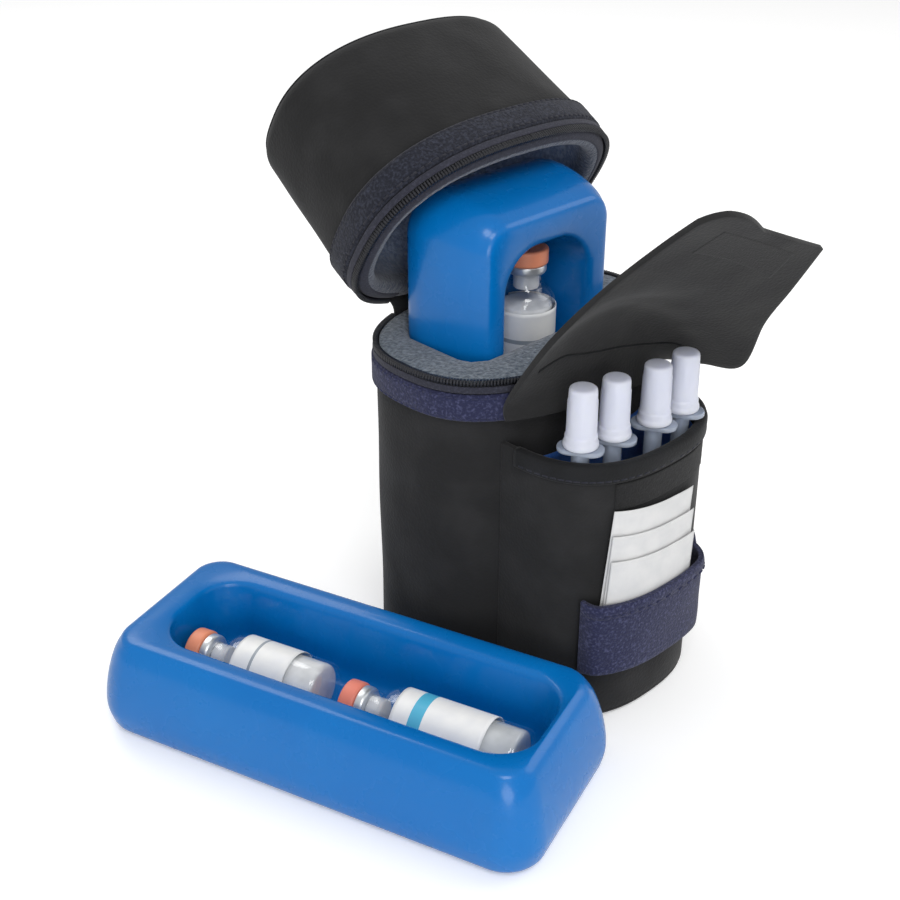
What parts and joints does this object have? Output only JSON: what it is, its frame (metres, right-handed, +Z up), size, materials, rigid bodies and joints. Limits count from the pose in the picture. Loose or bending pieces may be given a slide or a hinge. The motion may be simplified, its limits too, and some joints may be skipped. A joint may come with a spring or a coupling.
{
  "type": "insulin cooling case",
  "caption": "Soft oval insulated case with a zip lid, blue cold packs holding medicine vials, and a flapped front pocket for syringes and swab packets.",
  "frame": {"origin": "middle of the case's oval base, on the floor", "axes": "+Z up, -Y towards the syringe pocket, +Y towards the lid's cloth hinge, +X to the right seen from the pocket"},
  "size_m": [0.2152, 0.1942, 0.2237],
  "materials": {
    "black_cloth": "matte foam-backed knit",
    "black_hem": "woven binding",
    "navy_cloth": "speckled brushed weave",
    "grey_fleece": "short fleece pile",
    "insulating_foam": "closed-cell foam, hidden",
    "zip_tape": "woven tape",
    "zip_teeth": "coil teeth",
    "zip_metal": "dark enamel",
    "hook_loop": "hook and loop pile",
    "blue_plastic": "soft gloss moulding",
    "vial_glass": "clear",
    "label_paper": "blank printed film",
    "crimp_metal": "satin",
    "orange_plastic": "satin",
    "milky_plastic": "translucent",
    "clear_plastic": "clear",
    "packet_paper": "coated paper"
  },
  "bodies": {
    "case_body": {"base_panel": "black_cloth", "outer_sleeve": "black_cloth", "insulation_core": "insulating_foam", "fleece_liner": "grey_fleece", "rim_band": "navy_cloth", "body_zip_tape": "zip_tape", "body_zip_teeth": "zip_teeth", "zip_slider": "zip_metal", "pocket_panel": "black_cloth", "pocket_hem": "black_hem", "pocket_loop_strip": "hook_loop", "swab_pocket": "navy_cloth", "swab_pocket_hem": "navy_cloth", "lid_hinge_strip": "black_cloth", "flap_root": "black_cloth"},
    "lid": {"lid_sleeve": "black_cloth", "lid_top_panel": "black_cloth", "lid_insulation": "insulating_foam", "lid_liner": "grey_fleece", "lid_zip_teeth": "zip_teeth", "lid_zip_tape": "zip_tape", "lid_band": "navy_cloth"},
    "pull_tab": {"zip_pull_tab": "zip_metal"},
    "flap": {"flap_panel": "black_cloth", "flap_hook_strip": "hook_loop"},
    "upright_pack": {"cold_pack_upright": "blue_plastic", "vial_upright_1_glass": "vial_glass", "vial_upright_1_crimp": "crimp_metal", "vial_upright_1_cap": "orange_plastic", "vial_upright_1_label": "label_paper", "vial_upright_2_glass": "vial_glass", "vial_upright_2_crimp": "crimp_metal", "vial_upright_2_cap": "orange_plastic", "vial_upright_2_label": "label_paper"},
    "loose_pack": {"cold_pack_loose": "blue_plastic"},
    "loose_vial_1": {"vial_loose_1_glass": "vial_glass", "vial_loose_1_crimp": "crimp_metal", "vial_loose_1_cap": "orange_plastic", "vial_loose_1_label": "label_paper"},
    "loose_vial_2": {"vial_loose_2_glass": "vial_glass", "vial_loose_2_crimp": "crimp_metal", "vial_loose_2_cap": "orange_plastic", "vial_loose_2_label": "label_paper"},
    "syringe_1": {"syringe_1_barrel": "clear_plastic", "syringe_1_plunger_cap": "milky_plastic", "syringe_1_shield": "orange_plastic"},
    "syringe_2": {"syringe_2_barrel": "clear_plastic", "syringe_2_plunger_cap": "milky_plastic", "syringe_2_shield": "orange_plastic"},
    "syringe_3": {"syringe_3_barrel": "clear_plastic", "syringe_3_plunger_cap": "milky_plastic", "syringe_3_shield": "orange_plastic"},
    "syringe_4": {"syringe_4_barrel": "clear_plastic", "syringe_4_plunger_cap": "milky_plastic", "syringe_4_shield": "orange_plastic"},
    "swab_1": {"swab_packet_1": "packet_paper"},
    "swab_2": {"swab_packet_2": "packet_paper"},
    "swab_3": {"swab_packet_3": "packet_paper"}
  },
  "joints": [
    {"name": "lid_hinge", "type": "hinge", "parent": "case_body", "child": "lid", "pos_m": [0, 0.0389, 0.12825], "axis": [-1, 0, 0], "range_deg": [-57.5, 110], "deforming": ["lid_hinge_strip"]},
    {"name": "pull_tab_swing", "type": "hinge", "parent": "case_body", "child": "pull_tab", "pos_m": [0.04451, 0.03601, 0.126], "axis": [0.8628, -0.5055, 0], "range_deg": [0, 150]},
    {"name": "flap_fold", "type": "hinge", "parent": "case_body", "child": "flap", "pos_m": [0, -0.069, 0.138], "axis": [0.9767, -0.109, -0.1849], "range_deg": [-25, 140], "deforming": ["flap_root"]},
    {"name": "upright_pack_lift", "type": "slide", "parent": "case_body", "child": "upright_pack", "axis": [0, 0, 1], "range_m": [0, 0.008]},
    {"name": "loose_pack_lift", "type": "slide", "parent": "case_body", "child": "loose_pack", "axis": [0, 0, 1], "range_m": [0, 0.045]},
    {"name": "loose_vial_1_lift", "type": "slide", "parent": "loose_pack", "child": "loose_vial_1", "axis": [0, 0, 1], "range_m": [0, 0.045]},
    {"name": "loose_vial_2_lift", "type": "slide", "parent": "loose_pack", "child": "loose_vial_2", "axis": [0, 0, 1], "range_m": [0, 0.045]},
    {"name": "syringe_1_lift", "type": "slide", "parent": "case_body", "child": "syringe_1", "axis": [0, 0, 1], "range_m": [0, 0.008]},
    {"name": "syringe_2_lift", "type": "slide", "parent": "case_body", "child": "syringe_2", "axis": [0, 0, 1], "range_m": [0, 0.008]},
    {"name": "syringe_3_lift", "type": "slide", "parent": "case_body", "child": "syringe_3", "axis": [0, 0, 1], "range_m": [0, 0.008]},
    {"name": "syringe_4_lift", "type": "slide", "parent": "case_body", "child": "syringe_4", "axis": [0, 0, 1], "range_m": [0, 0.008]},
    {"name": "swab_1_slide", "type": "slide", "parent": "case_body", "child": "swab_1", "axis": [0, 0, 1], "range_m": [0, 0.035]},
    {"name": "swab_2_slide", "type": "slide", "parent": "case_body", "child": "swab_2", "axis": [0, 0, 1], "range_m": [0, 0.035]},
    {"name": "swab_3_slide", "type": "slide", "parent": "case_body", "child": "swab_3", "axis": [0, 0, 1], "range_m": [0, 0.035]}
  ]
}
